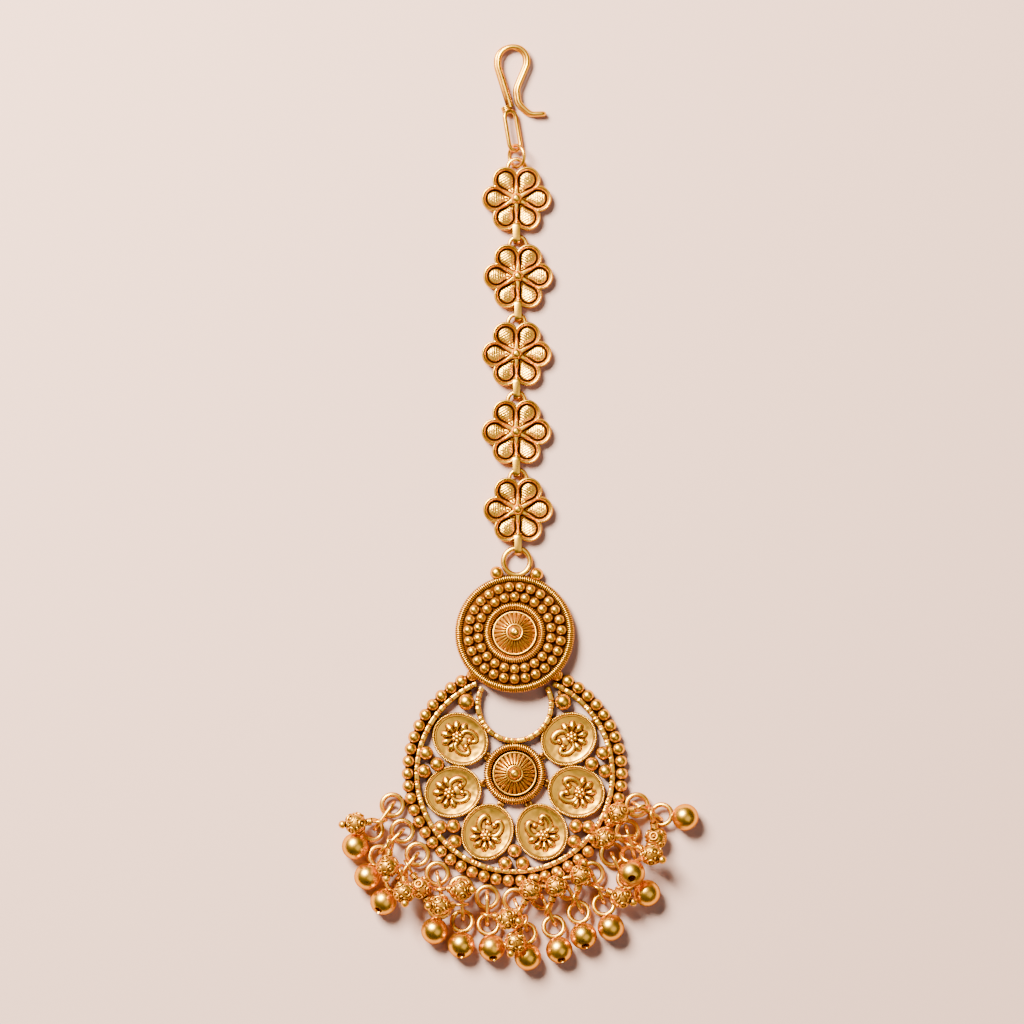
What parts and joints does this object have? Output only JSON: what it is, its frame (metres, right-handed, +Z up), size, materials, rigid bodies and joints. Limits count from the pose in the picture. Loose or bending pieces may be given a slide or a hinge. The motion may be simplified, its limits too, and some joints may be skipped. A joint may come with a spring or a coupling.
{
  "type": "maang tikka",
  "caption": "Head ornament in antique gold metal: hair hook, chain of flower links, round head piece and openwork crescent with hanging ball drops.",
  "frame": {"origin": "middle of the underside of the whole ornament lying on its back", "axes": "+Y along the ornament towards the hook, +X towards its right side as seen from the front, +Z up out of its face"},
  "size_m": [0.0538, 0.1392, 0.0068],
  "materials": {
    "antique_gold": "cast and soldered metal with a matte antique gold plating, darkened in the recesses"
  },
  "bodies": {
    "root": {"drop_links": "antique_gold", "flower_link_1": "antique_gold", "flower_link_2": "antique_gold", "flower_link_3": "antique_gold", "flower_link_4": "antique_gold", "flower_link_5": "antique_gold", "hook": "antique_gold", "hook_ring": "antique_gold", "large_drop_01": "antique_gold", "large_drop_02": "antique_gold", "large_drop_03": "antique_gold", "large_drop_04": "antique_gold", "large_drop_05": "antique_gold", "large_drop_06": "antique_gold", "large_drop_07": "antique_gold", "large_drop_08": "antique_gold", "large_drop_09": "antique_gold", "large_drop_10": "antique_gold", "large_drop_11": "antique_gold", "large_drop_12": "antique_gold", "large_drop_13": "antique_gold", "pendant": "antique_gold", "small_drop_01": "antique_gold", "small_drop_02": "antique_gold", "small_drop_03": "antique_gold", "small_drop_04": "antique_gold", "small_drop_05": "antique_gold", "small_drop_06": "antique_gold", "small_drop_07": "antique_gold", "small_drop_08": "antique_gold", "small_drop_09": "antique_gold", "small_drop_10": "antique_gold", "small_drop_11": "antique_gold", "small_drop_12": "antique_gold", "small_drop_13": "antique_gold", "small_drop_14": "antique_gold", "small_drop_15": "antique_gold", "small_drop_16": "antique_gold"}
  },
  "joints": []
}
